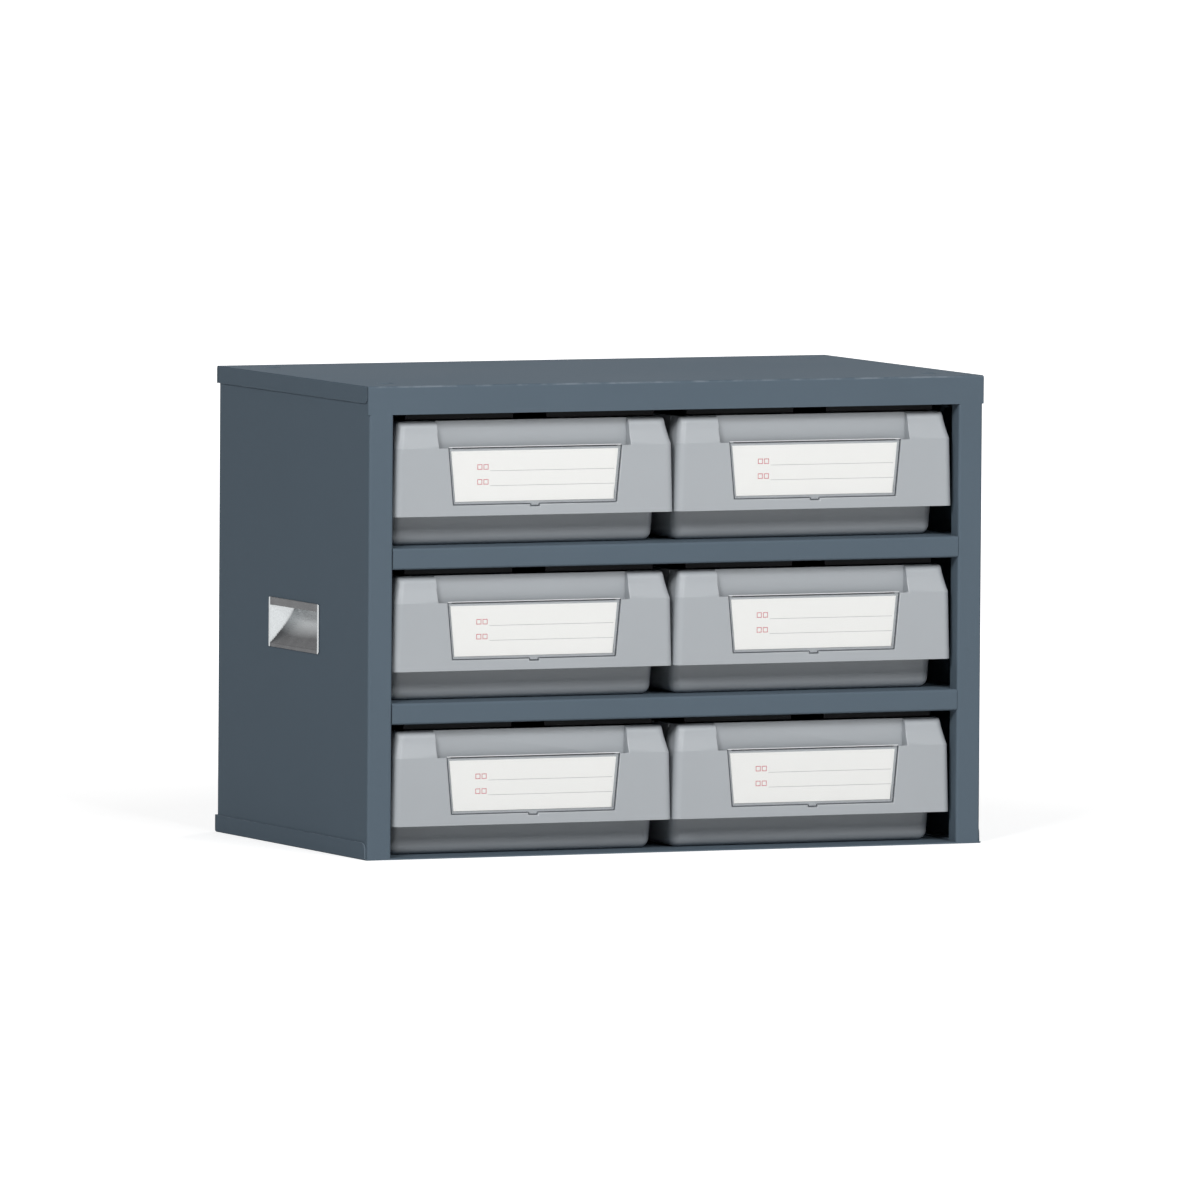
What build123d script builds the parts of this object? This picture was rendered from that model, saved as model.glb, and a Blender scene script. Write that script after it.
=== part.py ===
"""Small steel cabinet with six moulded drawers, two in each of three rows.

Millimetres, +Z up. The origin is the middle of the underside, and the front faces -Y.
"""
import os

from build123d import *

os.makedirs("parts", exist_ok=True)

# ---------------------------------------------------------------- driving dimensions
# Carcass
cabinet_width = 540.0
cabinet_depth = 310.0
cabinet_height = 378.0
sheet = 1.2  # coated steel of the carcass
bend_radius = 2.0  # outside of every fold
top_rail_height = 23.0  # front flange of the top cover
shelf_rail_height = 17.0  # front flange of a shelf
stile_width = 22.0  # front face of a side panel
return_lip = 14.0  # stile edge folded back into the bay
rail_lip = 10.0  # rail edge folded back under the shelf
seam_flange = 15.0  # hidden flanges that join the sheets
lap_flange = 14.0  # flanges of top and bottom outside the side panels
lap_corner_radius = 6.0
corner_slit = 1.6  # open corner between two folded flanges
row_count = 3
weld_gap = 0.2  # room beside a sheet edge that slips between two others

# Stacking holes in the corners of top and bottom
stack_inset_x = 32.0
stack_inset_y = 40.0
stack_hole_radius = 3.25
dimple_radius = 8.0
dimple_depth = 1.6

# Back panel and its rivets
back_sheet = 1.0
back_margin = 2.5  # from the cabinet's outer faces to the panel's edge
rivet_head_radius = 4.0
rivet_head_height = 1.0
rivet_shank_radius = 2.0
rivets_per_side = 3
rivet_end_distance = 40.0

# Carrying grips
grip_width = 102.0
grip_height = 40.0
grip_sheet = 1.2
grip_depth = 17.0  # from the panel's outer face to the back of the cup
grip_frame = 3.0  # flat border at the ends and the bottom
grip_hood = 6.5  # border at the top, which the fingers close on
grip_front_setback = 150.0  # grip's middle behind the cabinet's front
grip_middle_height = 178.0
scoop_bulge = 2.0  # the scoop's hollow, at its middle

# Stop strips above each row
strip_setback = 16.0  # behind the cabinet's front
strip_drop = 5.0  # below the rail's lower edge
strip_foot = 12.0  # flange welded to the deck above
notch_width = 29.0
notch_rise = 12.0

# Drawers
drawers_in_row = 2
drawer_recess = 4.0  # fascia behind the cabinet's front
drawer_gap = 1.5  # between neighbours
bay_side_gap = 3.25  # between fascia and stile
slide_gap = 0.3  # under the drawer and behind it
drawer_headroom = 6.3  # from the rim to the rail above
wall = 2.2
body_side_inset_rim = 6.0  # rim inside the fascia's lower corner
body_side_inset_base = 8.0
body_front_rim = 10.4  # front wall behind the fascia's face, at the rim
body_front_base = 25.0  # and at the bottom
body_rear_draft = 3.0
body_radius = 8.0  # upright corners and bottom edges
rim_bead = 1.2
rim_bead_height = 3.5

# Fascia
fascia_bottom = 24.3  # above the drawer's underside
shoulder_height = 21.5  # from the kink, where the fascia begins to lean back, to the rim
kink_side_inset = 1.6
shoulder_lean = 6.0
shoulder_hollow = 1.0  # how far the leaning face is hollowed
shoulder_corner_radius = 8.0  # in front view
fascia_depth = 24.0
fascia_wall = 3.0
fascia_corner_radius = 6.5
plate_thickness = 4.2
pocket_width = 167.0

# Label
label_recess = 2.2
label_bottom = 8.5  # above the fascia's lower edge
label_top_width = 151.5
label_bottom_width = 143.0
label_fit = 0.3  # round the cover
cover_sheet = 1.2
cover_inset = 0.3  # cover's face behind the plate's face
cover_hook = 1.0  # thickness of the lip over the plate's top edge
cover_tab_width = 8.0
cover_tab_height = 1.6
card_margin = 1.2
card_top_margin = 2.5

# Stops at the rear of the drawers
stop_ear_width = 24.0
stop_ear_height = 4.5
stop_gap = 0.5

# ---------------------------------------------------------------- derived places
front = -cabinet_depth / 2
rear = cabinet_depth / 2
half_width = cabinet_width / 2
panel_outer = half_width - sheet
panel_inner = panel_outer - sheet
bay_half_width = half_width - stile_width
deck_under = cabinet_height - sheet
top_opening = cabinet_height - top_rail_height

row_opening = (top_opening - sheet - (row_count - 1) * shelf_rail_height) / row_count
row_pitch = row_opening + shelf_rail_height
row_floors = [sheet + row_pitch * row for row in range(row_count)]

back_outer = rear - sheet
back_inner = back_outer - back_sheet
rear_flange_inner = back_inner - sheet

fascia_width = (2 * (bay_half_width - bay_side_gap) - (drawers_in_row - 1) * drawer_gap) / drawers_in_row
drawer_pitch = fascia_width + drawer_gap
drawer_front = front + drawer_recess
drawer_length = back_inner - slide_gap - drawer_front
drawer_height = row_opening - slide_gap - drawer_headroom
strip_front = front + strip_setback

# The ear at the drawer's rear rim meets the strip's back face at the end of the travel.
ear_front = drawer_front + drawer_length - rim_bead - wall
drawer_travel = ear_front - (strip_front + sheet) - stop_gap


def write(part, label):
    """Name a finished piece and write it."""
    part.label = label
    export_step(part, f"parts/{label}.step")


def stack_points():
    """Places of the four stacking holes."""
    return GridLocations(cabinet_width - 2 * stack_inset_x, cabinet_depth - 2 * stack_inset_y, 2, 2)


def rivet_holes():
    """Holes through the back panel and the rear flanges, and the places of the rivets."""
    rise = (cabinet_height - 2 * rivet_end_distance) / (rivets_per_side - 1)
    return Locations(*[
        Location((side * (panel_outer - seam_flange / 2), back_outer, rivet_end_distance + step * rise), (-90, 0, 0))
        for side in (-1, 1)
        for step in range(rivets_per_side)
    ])


# ---------------------------------------------------------------- top cover
def lap_flange_plate(low, high, round_low):
    """Flange lapped outside a side panel, from z low to high, with its free front corner rounded."""
    slit_end = front + sheet + corner_slit
    with BuildPart() as plate:
        with BuildSketch(Plane.YZ.offset(panel_outer)):
            with BuildLine():
                Polyline((slit_end, low), (rear - sheet - corner_slit, low), (rear - sheet - corner_slit, high),
                         (slit_end, high), close=True)
            make_face()
        extrude(amount=sheet)
        corner = plate.edges().filter_by(Axis.X).group_by(Axis.Y)[0]
        fillet(corner.sort_by(Axis.Z)[0 if round_low else -1], lap_corner_radius)
    return plate.part


with BuildPart() as top_cover:
    # deck, front flange and rear flange are one folded strip
    with BuildSketch(Plane.YZ.offset(-half_width)):
        with BuildLine():
            FilletPolyline(
                (front, top_opening),
                (front, cabinet_height),
                (rear, cabinet_height),
                (rear, cabinet_height - lap_flange),
                radius=bend_radius,
            )
            offset(amount=sheet, side=Side.RIGHT)
        make_face()
    extrude(amount=cabinet_width)
    # the deck's ends are relieved beside the lapped flanges
    flange = lap_flange_plate(cabinet_height - lap_flange, cabinet_height, round_low=True)
    add(flange)
    mirror(flange, about=Plane.YZ)
    fold_edges = top_cover.edges().filter_by(Axis.Y).group_by(Axis.Z)[-1]
    fillet(fold_edges.sort_by(SortBy.LENGTH)[-2:], sheet * 0.9)
    # stacking dimples are pressed down, with a hole in the middle of each
    with Locations(Plane.XY.offset(cabinet_height)):
        with stack_points():
            with Locations((0, 0, -sheet)):
                Cone(dimple_radius - dimple_depth, dimple_radius, dimple_depth,
                     align=(Align.CENTER, Align.CENTER, Align.MAX))
            Cone(dimple_radius - dimple_depth - sheet, dimple_radius - sheet, dimple_depth,
                 align=(Align.CENTER, Align.CENTER, Align.MAX), mode=Mode.SUBTRACT)
            Cylinder(stack_hole_radius, 4 * dimple_depth, mode=Mode.SUBTRACT)
write(top_cover.part, "top_cover")

# ---------------------------------------------------------------- side panels
grip_y = front + grip_front_setback
with BuildPart() as right_side_panel:
    # return lip, stile, side and rear flange are one folded strip
    with BuildSketch(Plane.XY.offset(sheet)):
        with BuildLine():
            FilletPolyline(
                (bay_half_width, front + return_lip),
                (bay_half_width, front),
                (panel_outer, front),
                (panel_outer, back_inner),
                (panel_outer - seam_flange, back_inner),
                radius=bend_radius,
            )
            offset(amount=sheet, side=Side.LEFT)
        make_face()
    extrude(amount=deck_under - sheet)
    # the stile and its lip stop under the top cover's front flange, and the side sheet behind it
    with BuildSketch(Plane.XY.offset(top_opening)):
        with Locations((panel_inner, front)):
            Rectangle(2 * stile_width, 2 * (return_lip + weld_gap), align=(Align.MAX, Align.CENTER))
        with Locations((half_width, front)):
            Rectangle(2 * stile_width, 2 * (bend_radius + weld_gap))
    extrude(amount=top_rail_height, mode=Mode.SUBTRACT)
    # flanges that lie against the top cover and the bottom tray
    for flange_top in (deck_under, 2 * sheet):
        with BuildSketch(Plane.XY.offset(flange_top)):
            with Locations((panel_outer - sheet / 2, front + return_lip + corner_slit)):
                Rectangle(seam_flange, rear_flange_inner - front - return_lip - 2 * corner_slit,
                          align=(Align.MAX, Align.MIN))
        extrude(amount=-sheet)
    with rivet_holes():
        Cylinder(rivet_shank_radius, 6 * sheet, mode=Mode.SUBTRACT)
    # window for the carrying grip
    with BuildSketch(Plane.YZ.offset(panel_inner)):
        with Locations((grip_y, grip_middle_height)):
            Rectangle(grip_width - 2 * grip_frame + 2 * weld_gap, grip_height - 2 * grip_frame + 2 * weld_gap)
    extrude(amount=3 * sheet, both=True, mode=Mode.SUBTRACT)
write(right_side_panel.part, "right_side_panel")

with BuildPart() as left_side_panel:
    mirror(right_side_panel.part, about=Plane.YZ)
write(left_side_panel.part, "left_side_panel")

# ---------------------------------------------------------------- bottom tray
with BuildPart() as bottom_tray:
    with BuildSketch(Plane.YZ.offset(-half_width)):
        with BuildLine():
            FilletPolyline((front, 0), (rear, 0), (rear, lap_flange), radius=bend_radius)
            offset(amount=sheet, side=Side.LEFT)
        make_face()
    extrude(amount=cabinet_width)
    flange = lap_flange_plate(0, lap_flange, round_low=False)
    add(flange)
    mirror(flange, about=Plane.YZ)
    fold_edges = bottom_tray.edges().filter_by(Axis.Y).group_by(Axis.Z)[0]
    fillet(fold_edges.sort_by(SortBy.LENGTH)[-2:], sheet * 0.9)
    with stack_points():
        Cylinder(stack_hole_radius, 4 * sheet, mode=Mode.SUBTRACT)
write(bottom_tray.part, "bottom_tray")

# ---------------------------------------------------------------- back panel and rivets
with BuildPart() as back_panel:
    with BuildSketch(Plane.XZ.offset(-back_outer)):
        with Locations((0, cabinet_height / 2)):
            Rectangle(cabinet_width - 2 * back_margin, cabinet_height - 2 * back_margin)
    extrude(amount=back_sheet)
    with rivet_holes():
        Cylinder(rivet_shank_radius, 4 * back_sheet, mode=Mode.SUBTRACT)
write(back_panel.part, "back_panel")

with BuildPart() as back_rivets:
    with rivet_holes():
        Cone(rivet_head_radius, rivet_head_radius - rivet_head_height, rivet_head_height,
             align=(Align.CENTER, Align.CENTER, Align.MIN))
        Cylinder(rivet_shank_radius - weld_gap / 2, back_sheet + sheet,
                 align=(Align.CENTER, Align.CENTER, Align.MAX))
write(back_rivets.part, "back_rivets")

# ---------------------------------------------------------------- shelves
shelf_half_width = panel_inner
shelf_front_half_width = bay_half_width - weld_gap
shelf_rear = rear_flange_inner - 2 * weld_gap


def make_shelf(deck_top):
    """A shelf whose upper side is at deck_top, folded down at the front into the rail."""
    rail_bottom = deck_top - shelf_rail_height
    with BuildPart() as shelf:
        # rail lip, rail, deck and rear flange are one folded strip
        with BuildSketch(Plane.YZ.offset(-shelf_front_half_width)):
            with BuildLine():
                FilletPolyline(
                    (front + rail_lip, rail_bottom),
                    (front, rail_bottom),
                    (front, deck_top),
                    (shelf_rear, deck_top),
                    (shelf_rear, deck_top - seam_flange),
                    radius=bend_radius,
                )
                offset(amount=sheet, side=Side.RIGHT)
            make_face()
        extrude(amount=2 * shelf_front_half_width)
        # behind the stiles the deck widens to the side sheets and turns down against them
        wing_front = front + return_lip + weld_gap
        with BuildSketch(Plane.XZ.offset(-wing_front)):
            for side in (-1, 1):
                with BuildLine():
                    FilletPolyline(
                        (side * (shelf_front_half_width - sheet), deck_top),
                        (side * shelf_half_width, deck_top),
                        (side * shelf_half_width, deck_top - seam_flange),
                        radius=bend_radius,
                    )
                    offset(amount=sheet, side=Side.RIGHT if side > 0 else Side.LEFT)
                make_face()
        extrude(amount=-(shelf_rear - bend_radius - wing_front))
    return shelf.part


shelf_names = ["lower", "upper"]
for shelf_name, deck_top in zip(shelf_names, row_floors[1:]):
    write(make_shelf(deck_top), f"{shelf_name}_shelf")

# ---------------------------------------------------------------- stop strips
notch_pitch = drawer_pitch / 2
notch_count = 2 * drawers_in_row - 1
strip_length = (notch_count + 1) * notch_pitch - notch_width


def make_stop_strip(deck_underside, rail_bottom):
    """Angle under a deck, whose notched leg hangs a little below the rail in front of it."""
    strip_low = rail_bottom - strip_drop
    with BuildPart() as strip:
        with BuildSketch(Plane.YZ.offset(-strip_length / 2)):
            with BuildLine():
                FilletPolyline(
                    (strip_front, strip_low),
                    (strip_front, deck_underside),
                    (strip_front + strip_foot, deck_underside),
                    radius=bend_radius,
                )
                offset(amount=sheet, side=Side.RIGHT)
            make_face()
        extrude(amount=strip_length)
        with BuildSketch(Plane.XZ.offset(-strip_front)):
            with Locations((0, strip_low)):
                with GridLocations(notch_pitch, 1, notch_count, 1):
                    Rectangle(notch_width, 2 * notch_rise)
        extrude(amount=2 * sheet, both=True, mode=Mode.SUBTRACT)
    return strip.part


for shelf_name, deck_top in zip(shelf_names, row_floors[1:]):
    write(make_stop_strip(deck_top - sheet, deck_top - shelf_rail_height), f"{shelf_name}_stop_strip")
write(make_stop_strip(deck_under, top_opening), "top_stop_strip")

# ---------------------------------------------------------------- carrying grips
grip_low = grip_middle_height - grip_height / 2
grip_high = grip_middle_height + grip_height / 2
cup_low = grip_low + grip_frame
cup_high = grip_high - grip_frame
cup_half_length = grip_width / 2 - grip_frame
cup_back = panel_outer - grip_depth

with BuildPart() as right_grip_cup:
    # the cup is a wedge, shallow at the bottom and deepest under the hood
    with BuildSketch(Plane.XZ.offset(-(grip_y - cup_half_length))):
        with BuildLine():
            Line((half_width, cup_low), (half_width, cup_high))
            Line((half_width, cup_high), (cup_back, cup_high))
            Line((cup_back, cup_high), (cup_back, cup_high - grip_hood))
            scoop_chord = Vector(panel_outer, cup_low) - Vector(cup_back, cup_high - grip_hood)
            scoop_normal = Vector(-abs(scoop_chord.Y), -abs(scoop_chord.X)).normalized()
            scoop_middle = (Vector(panel_outer, cup_low) + Vector(cup_back, cup_high - grip_hood)) / 2
            ThreePointArc((cup_back, cup_high - grip_hood), scoop_middle + scoop_normal * scoop_bulge,
                          (panel_outer, cup_low))
            Line((panel_outer, cup_low), (half_width, cup_low))
        make_face()
    extrude(amount=-2 * cup_half_length)
    deep_edges = right_grip_cup.edges().filter_by(Axis.Y).group_by(Axis.X)[0]
    fillet(deep_edges, bend_radius)
    # border that lies on the side panel
    with BuildSketch(Plane.YZ.offset(panel_outer)):
        with Locations((grip_y, grip_middle_height)):
            RectangleRounded(grip_width, grip_height, bend_radius)
    extrude(amount=grip_sheet)
    # hollow the cup, leaving the hood across its top
    with BuildSketch(Plane.XZ.offset(-(grip_y - cup_half_length + grip_sheet))):
        with BuildLine():
            Line((half_width + sheet, cup_low + grip_sheet), (half_width + sheet, cup_high - grip_sheet))
            Line((half_width + sheet, cup_high - grip_sheet), (cup_back + grip_sheet, cup_high - grip_sheet))
            Line((cup_back + grip_sheet, cup_high - grip_sheet),
                 (cup_back + grip_sheet, cup_high - grip_hood))
            ThreePointArc((cup_back + grip_sheet, cup_high - grip_hood),
                          scoop_middle + scoop_normal * (scoop_bulge - grip_sheet),
                          (panel_outer + grip_sheet / 2, cup_low + grip_sheet))
            Line((panel_outer + grip_sheet / 2, cup_low + grip_sheet),
                 (half_width + sheet, cup_low + grip_sheet))
        make_face()
    extrude(amount=-2 * (cup_half_length - grip_sheet), mode=Mode.SUBTRACT)
    with BuildSketch(Plane.YZ.offset(panel_outer)):
        with Locations((grip_y, grip_high - grip_hood)):
            Rectangle(2 * cup_half_length, grip_hood - grip_frame, align=(Align.CENTER, Align.MIN))
    extrude(amount=grip_sheet)
write(right_grip_cup.part, "right_handle_cup")

with BuildPart() as left_grip_cup:
    mirror(right_grip_cup.part, about=Plane.YZ)
write(left_grip_cup.part, "left_handle_cup")

# ---------------------------------------------------------------- drawers
# Each is modelled round x = 0 with its fascia's face at y = 0 and its underside at z = 0.
rim_half_width = fascia_width / 2 - body_side_inset_rim
base_half_width = fascia_width / 2 - body_side_inset_base
kink_height = drawer_height - shoulder_height
kink_half_width = fascia_width / 2 - kink_side_inset
pocket_half_width = pocket_width / 2
label_low = fascia_bottom + label_bottom


def body_block(inset):
    """Tapered body of the drawer, moved in by inset: its front view crossed with its side view."""
    high = drawer_height + inset
    share = high / drawer_height
    half_high = base_half_width + (rim_half_width - base_half_width) * share
    front_high = body_front_base + (body_front_rim - body_front_base) * share
    rear_low = drawer_length - rim_bead - body_rear_draft
    rear_high = rear_low + body_rear_draft * share
    with BuildPart() as body:
        with BuildSketch(Plane.XZ):
            with BuildLine():
                Polyline((-base_half_width, 0), (base_half_width, 0), (half_high, high), (-half_high, high),
                         close=True)
            make_face()
            offset(amount=-inset, kind=Kind.INTERSECTION)
        extrude(amount=-drawer_length)
        with BuildSketch(Plane.YZ.offset(-fascia_width / 2)):
            with BuildLine():
                Polyline((body_front_base, 0), (rear_low, 0), (rear_high, high), (front_high, high), close=True)
            make_face()
            offset(amount=-inset, kind=Kind.INTERSECTION)
        extrude(amount=fascia_width, mode=Mode.INTERSECT)
        rim_edges = body.edges().group_by(Axis.Z)[-1]
        fillet(body.edges() - rim_edges, body_radius - inset)
    return body.part


def fascia_block(inset):
    """Sharp-edged fascia, moved in by inset: its front view crossed with its side view."""
    half = fascia_width / 2
    low = fascia_bottom - inset
    with BuildPart() as block:
        with BuildSketch(Plane.XZ) as outline:
            with BuildLine():
                Polyline((-half, low), (half, low), (kink_half_width, kink_height), (rim_half_width, drawer_height),
                         (-rim_half_width, drawer_height), (-kink_half_width, kink_height), close=True)
            make_face()
            fillet(outline.vertices().group_by(Axis.Y)[-1], shoulder_corner_radius)
            offset(amount=-inset)
        extrude(amount=-fascia_depth)
        with BuildSketch(Plane.YZ.offset(-half)):
            with BuildLine():
                SagittaArc((0, kink_height), (shoulder_lean, drawer_height), -shoulder_hollow)
                Polyline((shoulder_lean, drawer_height), (fascia_depth, drawer_height), (fascia_depth, low),
                         (0, low), (0, kink_height))
            make_face()
            offset(amount=-inset)
        extrude(amount=fascia_width, mode=Mode.INTERSECT)
    return block.part


def label_outline(margin, low, high):
    """Outline, on the plate's face, of the label window moved in by margin, from low to high."""
    slope = (label_top_width - label_bottom_width) / 2 / (kink_height - label_low)
    half_low = label_bottom_width / 2 + slope * (low - label_low) - margin
    half_high = label_bottom_width / 2 + slope * (high - label_low) - margin
    return Polyline((-half_low, low), (half_low, low), (half_high, high), (-half_high, high), close=True)


with BuildPart() as end_hollow:
    # room inside the fascia's right end, beside the finger pocket
    add(fascia_block(fascia_wall))
    split(bisect_by=Plane.YZ.offset(pocket_half_width + fascia_wall), keep=Keep.TOP)

with BuildPart() as drawer_mould:
    add(fascia_block(0))
    front_faces = drawer_mould.faces().filter_by(lambda face: face.center().Y < shoulder_lean)
    fillet(front_faces.edges().filter_by(Axis.X, reverse=True), fascia_corner_radius)
    add(end_hollow.part, mode=Mode.SUBTRACT)
    mirror(end_hollow.part, about=Plane.YZ, mode=Mode.SUBTRACT)
    # finger pocket behind the label plate, open above and below
    with BuildSketch(Plane.XY.offset(fascia_bottom)):
        with Locations((0, plate_thickness)):
            Rectangle(pocket_width, 2 * fascia_depth, align=(Align.CENTER, Align.MIN))
    extrude(amount=drawer_height, mode=Mode.SUBTRACT)
    with BuildSketch(Plane.XY.offset(kink_height)):
        Rectangle(pocket_width, 2 * fascia_depth)
    extrude(amount=drawer_height, mode=Mode.SUBTRACT)
    # label recess, open at the plate's top edge, with a notch for the cover's tab
    with BuildSketch(Plane.XZ):
        with BuildLine():
            label_outline(0, label_low, kink_height + wall)
        make_face()
        with Locations((0, label_low)):
            Rectangle(cover_tab_width + 2 * label_fit, 2 * (cover_tab_height + label_fit))
    extrude(amount=-label_recess, mode=Mode.SUBTRACT)
    # body with its rim bead, and the space inside
    add(body_block(0))
    with BuildSketch(Plane.XY.offset(drawer_height)):
        with Locations((0, body_front_rim)):
            RectangleRounded(2 * (rim_half_width + rim_bead), drawer_length - body_front_rim,
                             body_radius + rim_bead, align=(Align.CENTER, Align.MIN))
        with Locations((0, fascia_depth)):
            Rectangle(fascia_width, drawer_length, align=(Align.CENTER, Align.MAX), mode=Mode.SUBTRACT)
    extrude(amount=-rim_bead_height)
    add(body_block(wall), mode=Mode.SUBTRACT)
    # ears on the rear rim, which meet the stop strip
    with BuildSketch(Plane.XY.offset(drawer_height - rim_bead_height)):
        with Locations((0, drawer_length - rim_bead)):
            with GridLocations(notch_pitch, 1, 2, 1):
                Rectangle(stop_ear_width, wall, align=(Align.CENTER, Align.MAX))
    extrude(amount=rim_bead_height + stop_ear_height)

drawer_shape = drawer_mould.part

with BuildPart() as label_cover_shape:
    with BuildSketch(Plane.XZ.offset(-cover_inset)):
        with BuildLine():
            label_outline(label_fit, label_low + label_fit, kink_height + cover_hook)
        make_face()
        with Locations((0, label_low + label_fit)):
            Rectangle(cover_tab_width, 2 * cover_tab_height)
    extrude(amount=-cover_sheet)
    # lip that hooks over the plate's top edge
    with BuildSketch(Plane.XY.offset(kink_height)):
        with Locations((0, cover_inset)):
            Rectangle(label_bottom_width, plate_thickness - cover_inset, align=(Align.CENTER, Align.MIN))
    extrude(amount=cover_hook)

with BuildPart() as label_card_shape:
    with BuildSketch(Plane.XZ.offset(-(cover_inset + cover_sheet))):
        with BuildLine():
            label_outline(card_margin, label_low + card_margin, kink_height - card_top_margin)
        make_face()
    extrude(amount=-(label_recess - cover_inset - cover_sheet))


def place(shape, column, floor, label):
    """Put a copy of a drawer's piece in its bay and write it."""
    with BuildPart() as placed:
        with Locations((column * drawer_pitch, drawer_front, floor + slide_gap)):
            add(shape)
    write(placed.part, label)


row_names = ["bottom", "middle", "top"]
column_names = ["left", "right"]
for row_name, floor in zip(row_names, row_floors):
    for index, column_name in enumerate(column_names):
        column = index - (drawers_in_row - 1) / 2
        place(drawer_shape, column, floor, f"{row_name}_{column_name}_drawer")
        place(label_cover_shape.part, column, floor, f"{row_name}_{column_name}_label_cover")
        place(label_card_shape.part, column, floor, f"{row_name}_{column_name}_label_card")
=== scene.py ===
import bmesh
import bpy
import math
import numpy as np
from mathutils import Matrix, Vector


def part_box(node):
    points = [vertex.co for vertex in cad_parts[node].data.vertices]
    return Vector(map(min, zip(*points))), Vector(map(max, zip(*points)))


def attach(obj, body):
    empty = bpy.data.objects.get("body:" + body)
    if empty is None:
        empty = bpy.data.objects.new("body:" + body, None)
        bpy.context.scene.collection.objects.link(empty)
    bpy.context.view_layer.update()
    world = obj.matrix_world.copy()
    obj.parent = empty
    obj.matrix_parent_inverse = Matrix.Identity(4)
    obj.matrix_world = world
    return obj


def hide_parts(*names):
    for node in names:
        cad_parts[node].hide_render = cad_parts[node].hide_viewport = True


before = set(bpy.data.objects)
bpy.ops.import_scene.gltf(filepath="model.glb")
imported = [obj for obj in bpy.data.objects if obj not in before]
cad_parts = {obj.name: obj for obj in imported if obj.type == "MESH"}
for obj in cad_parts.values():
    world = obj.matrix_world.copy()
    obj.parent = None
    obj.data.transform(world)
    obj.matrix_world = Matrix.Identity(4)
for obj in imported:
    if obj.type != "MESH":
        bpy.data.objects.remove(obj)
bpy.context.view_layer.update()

# ---------------------------------------------------------------- camera
# A long lens far away, about four degrees above the cabinet and turned to its left, so that the
# front and the left side show and their parallel edges stay nearly parallel.
view_azimuth = math.radians(-23.96)
view_elevation = math.radians(3.89)
view_roll = math.radians(0.38)
view_distance = 16.166
view_target = np.array([0.0065, 0.0116, 0.1913])


def new_object(name, data):
    """Object with this data, linked into the scene."""
    made = bpy.data.objects.new(name, data)
    bpy.context.scene.collection.objects.link(made)
    return made


camera_data = bpy.data.cameras.new("camera")
camera_data.lens = 600.0
camera_data.sensor_width = 36.0
camera_data.clip_start = 1.0
camera_data.clip_end = 60.0
camera = new_object("camera", camera_data)
towards_camera = np.array([
    math.sin(view_azimuth) * math.cos(view_elevation),
    -math.cos(view_azimuth) * math.cos(view_elevation),
    math.sin(view_elevation),
])
camera.matrix_world = (Matrix.Translation(view_target + towards_camera * view_distance)
                       @ Matrix.Rotation(view_azimuth, 4, "Z")
                       @ Matrix.Rotation(math.pi / 2 - view_elevation, 4, "X")
                       @ Matrix.Rotation(view_roll, 4, "Z"))
bpy.context.scene.camera = camera

# ---------------------------------------------------------------- floor
# A wide pale sheet, flat and seamless, on which the cabinet stands. Behind it there is only the
# white room of the world, so that the cabinet can be seen from every side. The sheet glows a little
# near the cabinet, where its shadow stays, and is white further off.
floor_half_width = 40.0
floor_line_count = 9
floor_tone = (0.7, 0.7, 0.7, 1)
glow_near = 0.62
glow_far = 1.0
near_distance = 0.45
far_distance = 1.6


def mesh_object(name, points, faces, smooth=True):
    """Mesh object of an array of points and one of faces, with its place in its vertices."""
    mesh = bpy.data.meshes.new(name)
    mesh.from_pydata(points.reshape(-1, 3).tolist(), [], faces.tolist())
    mesh.polygons.foreach_set("use_smooth", [smooth] * len(mesh.polygons))
    mesh.update()
    return new_object(name, mesh)


def grid_faces(rows, columns):
    """Quads between neighbouring points of a grid that is rows by columns, stored row after row."""
    corner = (np.arange(rows - 1)[:, None] * columns + np.arange(columns - 1)[None, :]).ravel()
    return np.stack([corner, corner + 1, corner + columns + 1, corner + columns], axis=1)


def material_with_nodes(name):
    """New material, with its node tree and its Principled shader."""
    material = bpy.data.materials.new(name)
    material.use_nodes = True
    return material, material.node_tree, material.node_tree.nodes["Principled BSDF"]


def feed(tree, value, socket):
    """Gives an input socket its value: another node's output, a number or a colour."""
    if isinstance(value, bpy.types.NodeSocket):
        tree.links.new(value, socket)
    else:
        socket.default_value = value


def math_node(tree, operation, first, second):
    """Result of a math node on two values, each a socket or a number."""
    node = tree.nodes.new("ShaderNodeMath")
    node.operation = operation
    feed(tree, first, node.inputs[0])
    feed(tree, second, node.inputs[1])
    return node.outputs[0]


def map_range(tree, value, to_low, to_high, from_low=0.0, from_high=1.0):
    """Runs evenly from to_low to to_high while the value runs from from_low to from_high."""
    node = tree.nodes.new("ShaderNodeMapRange")
    limits = {"From Min": from_low, "From Max": from_high, "To Min": to_low, "To Max": to_high}
    for socket, limit in limits.items():
        node.inputs[socket].default_value = limit
    tree.links.new(value, node.inputs["Value"])
    return node.outputs["Result"]


def object_place(tree):
    """Place on the piece in metres, from its Object coordinates."""
    return tree.nodes.new("ShaderNodeTexCoord").outputs["Object"]


def seen_directly(tree):
    """1 for the rays of the camera, of gloss and of clear materials, otherwise 0: their largest."""
    path = tree.nodes.new("ShaderNodeLightPath")
    seen = path.outputs["Is Camera Ray"]
    for ray in ("Is Glossy Ray", "Is Transmission Ray"):
        seen = math_node(tree, "MAXIMUM", seen, path.outputs[ray])
    return seen


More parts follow.
